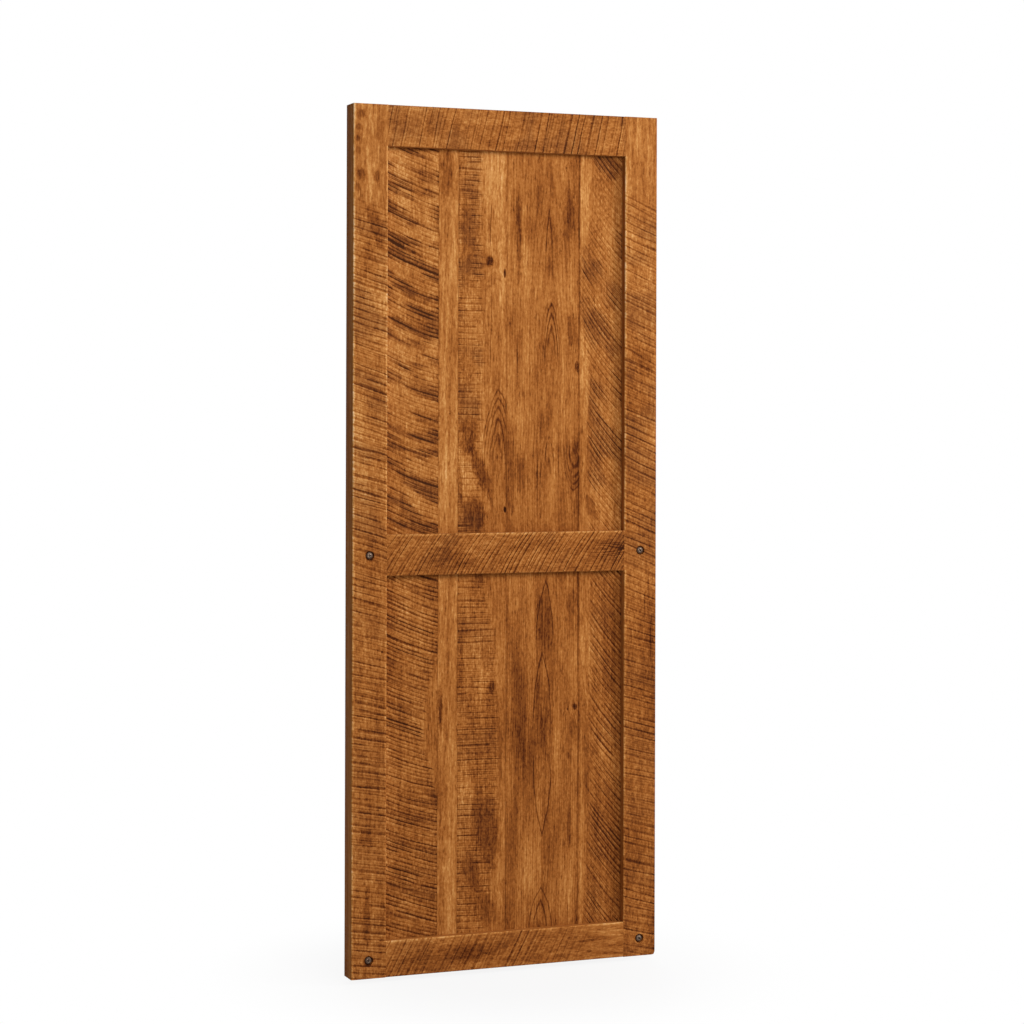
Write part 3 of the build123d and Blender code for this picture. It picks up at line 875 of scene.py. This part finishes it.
browned_steel = bpy.data.materials.new("browned_steel")
browned_steel.use_nodes = True
steel_tree = browned_steel.node_tree
steel_shader = steel_tree.nodes["Principled BSDF"]
steel_point = point_in_object(steel_tree)
rubbed = stored(steel_tree, "rubbed")
spots = noise(steel_tree, *(part * 560 for part in steel_point), 2)
mottle = ease(spots, 0.50, 0.60) * (0.10 + rubbed * 0.90)
grain = noise(steel_tree, *(part * 1600 for part in steel_point), 2)
steel_ramp = steel_tree.nodes.new("ShaderNodeValToRGB")
steel_ramp.color_ramp.elements[0].color = paint(68, 48, 36)
steel_ramp.color_ramp.elements[1].color = paint(160, 141, 121)
steel_tree.links.new(mottle.socket, steel_ramp.inputs[0])
steel_tree.links.new(steel_ramp.outputs[0], steel_shader.inputs["Base Color"])
steel_tree.links.new((0.34 + grain * 0.3).socket, steel_shader.inputs["Roughness"])
steel_shader.inputs["Metallic"].default_value = 0.7
steel_bump = steel_tree.nodes.new("ShaderNodeBump")
steel_bump.inputs["Distance"].default_value = 1.0
steel_tree.links.new((grain * 0.00008 + mottle * 0.0001).socket, steel_bump.inputs["Height"])
steel_tree.links.new(steel_bump.outputs[0], steel_shader.inputs["Normal"])

bolt_seats = [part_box(name) for names in bolt_names.values() for name in names]
bolt_front = bolt_seats[0][0].y
bolt_length = bolt_seats[0][1].y - bolt_front
head_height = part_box("left_stile")[0].y + bore_depth - bolt_front
head_radius = 0.008
shank_radius = 0.00475
crown = 0.0014
rubbed_radius = 0.005
socket_half = 0.00275
socket_depth = 0.003
tip_radius = 0.00175
tip_length = 0.003
turned_edge = 0.0002
socket_lip = 0.0003
flat_radius = 0.0042
flat_drop = 0.0001
crown_curve = 2.4
bolt_sides = 48

bolt_rows = [
    (socket_half * 0.9, socket_depth, True),
    (socket_half, socket_depth - turned_edge, True),
    (socket_half, socket_lip, True),
    (socket_half + socket_lip, 0.0, True),
    (flat_radius, flat_drop, False),
]
bolt_rows += [(r, crown * (r / head_radius) ** crown_curve, False) for r in (0.0055, 0.0066, 0.0073, 0.0077)]
bolt_rows += [
    (head_radius, crown + turned_edge, False),
    (head_radius, head_height - turned_edge, False),
    (head_radius - turned_edge, head_height, False),
    (shank_radius, head_height, False),
    (shank_radius, bolt_length - tip_length, False),
    (tip_radius, bolt_length, False),
]
mesh = bmesh.new()
rub_layer = mesh.verts.layers.float.new("rubbed")
loops = []
for radius, drop, six_sided in bolt_rows:
    loop = []
    for i in range(bolt_sides):
        turn = 2 * pi * i / bolt_sides
        reach = radius / cos((turn + pi / 6) % (pi / 3) - pi / 6) if six_sided else radius
        loop.append(mesh.verts.new((reach * cos(turn), drop, reach * sin(turn))))
        loop[-1][rub_layer] = 1.0 if drop < crown and radius < rubbed_radius else 0.0
    loops.append(loop)
for inner, outer in zip(loops, loops[1:]):
    for i in range(bolt_sides):
        j = (i + 1) % bolt_sides
        mesh.faces.new((inner[i], inner[j], outer[j], outer[i])).smooth = True
mesh.faces.new(loops[0])
mesh.faces.new(loops[-1])
bmesh.ops.recalc_face_normals(mesh, faces=mesh.faces)
for bolt_edge in mesh.edges:
    if bolt_edge.calc_face_angle() > crisp_angle:
        bolt_edge.smooth = False
turned_mesh = bpy.data.meshes.new("turned_bolt")
mesh.to_mesh(turned_mesh)
mesh.free()
turned_bolt = bpy.data.objects.new("turned_bolt", turned_mesh)


def set_bolts_tree():
    """Sets one turned bolt in each seat, each turned by its own amount, as it was tightened."""
    tree = bpy.data.node_groups.new("Set bolts", "GeometryNodeTree")
    add_sockets(tree, "INPUT", {
        "Seats": "Geometry", "Bolt": "Object", "Most Turn": "Vector", "Steel": "Material"})
    add_sockets(tree, "OUTPUT", {"Bolts": "Geometry"})
    start = tree.nodes.new("NodeGroupInput")
    end = tree.nodes.new("NodeGroupOutput")
    bolt = tree.nodes.new("GeometryNodeObjectInfo")
    tree.links.new(start.outputs["Bolt"], bolt.inputs["Object"])
    turn = tree.nodes.new("FunctionNodeRandomValue")
    turn.data_type = "FLOAT_VECTOR"
    turn.inputs["Min"].default_value = (0, 0, 0)
    turn.inputs["Seed"].default_value = 4
    tree.links.new(start.outputs["Most Turn"], turn.inputs["Max"])
    driven = tree.nodes.new("GeometryNodeInstanceOnPoints")
    tree.links.new(start.outputs["Seats"], driven.inputs["Points"])
    tree.links.new(bolt.outputs["Geometry"], driven.inputs["Instance"])
    tree.links.new(turn.outputs["Value"], driven.inputs["Rotation"])
    whole = tree.nodes.new("GeometryNodeRealizeInstances")
    tree.links.new(driven.outputs["Instances"], whole.inputs["Geometry"])
    finish = tree.nodes.new("GeometryNodeSetMaterial")
    tree.links.new(whole.outputs["Geometry"], finish.inputs["Geometry"])
    tree.links.new(start.outputs["Steel"], finish.inputs["Material"])
    tree.links.new(finish.outputs["Geometry"], end.inputs["Bolts"])
    return tree


seat_points = bpy.data.meshes.new("socket_bolts")
seat_points.from_pydata([((a.x + b.x) / 2, bolt_front, (a.z + b.z) / 2) for a, b in bolt_seats], [], [])
bolts = bpy.data.objects.new("socket_bolts", seat_points)
bpy.context.scene.collection.objects.link(bolts)
run_tree(bolts, set_bolts_tree(), {"Bolt": turned_bolt, "Most Turn": (0, pi / 3, 0), "Steel": browned_steel})
bpy.data.objects.remove(turned_bolt)
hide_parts(*(name for names in bolt_names.values() for name in names))
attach(bolts, "root")

# Floor
# A plain pale studio floor just under the hanging door; near the door it takes the shadow,
# and further off it goes over into the white of the background.

floor_gap = 0.0127
floor_reach = 30
shade_share = 0.12
shade_from, shade_to = 0.2, 0.8


def seen_share(tree):
    """1 where the camera, a reflection or a clear body looks, and 0 where the light is gathered."""
    rays = tree.nodes.new("ShaderNodeLightPath")
    camera_ray, glossy_ray, clear_ray = (
        Flow(tree, rays.outputs[f"Is {kind} Ray"]) for kind in ("Camera", "Glossy", "Transmission"))
    return work(tree, "MAXIMUM", work(tree, "MAXIMUM", camera_ray, glossy_ray), clear_ray)


floor_mesh = bpy.data.meshes.new("studio_floor")
floor_z = door_low.z - floor_gap
floor_corners = [(x * floor_reach, y * floor_reach, floor_z) for x, y in ((-1, -1), (1, -1), (1, 1), (-1, 1))]
floor_mesh.from_pydata(floor_corners, [], [(0, 1, 2, 3)])
floor = bpy.data.objects.new("studio_floor", floor_mesh)
bpy.context.scene.collection.objects.link(floor)
pale_floor = bpy.data.materials.new("pale_floor")
pale_floor.use_nodes = True
floor_tree = pale_floor.node_tree
floor_shader = floor_tree.nodes["Principled BSDF"]
floor_shader.inputs["Base Color"].default_value = (0.62, 0.62, 0.62, 1)
floor_shader.inputs["Roughness"].default_value = 0.9
floor_x, floor_y, _ = point_in_object(floor_tree)
off = work(floor_tree, "SQRT", floor_x * floor_x + floor_y * floor_y)
white = 1 - shade_share + ease(off, shade_from, shade_to) * shade_share
glow = floor_tree.nodes.new("ShaderNodeEmission")
glow.inputs["Color"].default_value = (1, 1, 1, 1)
blend = floor_tree.nodes.new("ShaderNodeMixShader")
floor_tree.links.new((seen_share(floor_tree) * white).socket, blend.inputs[0])
floor_tree.links.new(floor_shader.outputs[0], blend.inputs[1])
floor_tree.links.new(glow.outputs[0], blend.inputs[2])
floor_tree.links.new(blend.outputs[0], floor_tree.nodes["Material Output"].inputs["Surface"])
floor_mesh.materials.append(pale_floor)

# Light
# A large soft lamp far off on the right, a weaker one in front of the door and one behind it,
# and an even pale surround that shows as white behind the door.

surround = bpy.data.worlds.new("pale_surround")
bpy.context.scene.world = surround
surround.use_nodes = True
sky_tree = surround.node_tree
sky = sky_tree.nodes["Background"]
sky_light = 0.24
sky.inputs["Color"].default_value = (1, 1, 1, 1)
sky_tree.links.new((sky_light + seen_share(sky_tree) * (1 - sky_light)).socket, sky.inputs["Strength"])
door_middle = (0, 0, -0.9)


def soft_lamp(name, place, size, power):
    """A square soft box turned to face the door."""
    lamp = bpy.data.lights.new(name, "AREA")
    lamp.size = size
    lamp.energy = power
    holder = bpy.data.objects.new(name, lamp)
    holder.location = place
    holder.rotation_euler = (Vector(door_middle) - Vector(place)).to_track_quat("-Z", "Y").to_euler()
    bpy.context.scene.collection.objects.link(holder)


soft_lamp("key_lamp", (5.4, -3.4, 1.6), size=2.4, power=315)
soft_lamp("fill_lamp", (0.6, -5.0, 1.2), size=2.5, power=168)
soft_lamp("back_lamp", (1.5, 5.0, 1.2), size=2.5, power=110)

# Camera
# Level and turned a little to the right, far off, as the photograph was taken.

camera_place = (-2.2569, -5.7529, -0.7433)
camera_turn = radians(-21.63)
camera_roll = radians(0.166)
eye = bpy.data.cameras.new("camera")
eye.lens = 86.83
eye.sensor_width = 36
eye.shift_x = -0.0012
eye.shift_y = -0.1006
camera = bpy.data.objects.new("camera", eye)
aim = Euler((radians(90), 0, camera_turn)).to_matrix().to_4x4()
camera.matrix_world = Matrix.Translation(camera_place) @ aim @ Matrix.Rotation(camera_roll, 4, "Z")
bpy.context.scene.collection.objects.link(camera)
bpy.context.scene.camera = camera
bpy.context.scene.view_settings.view_transform = "Standard"
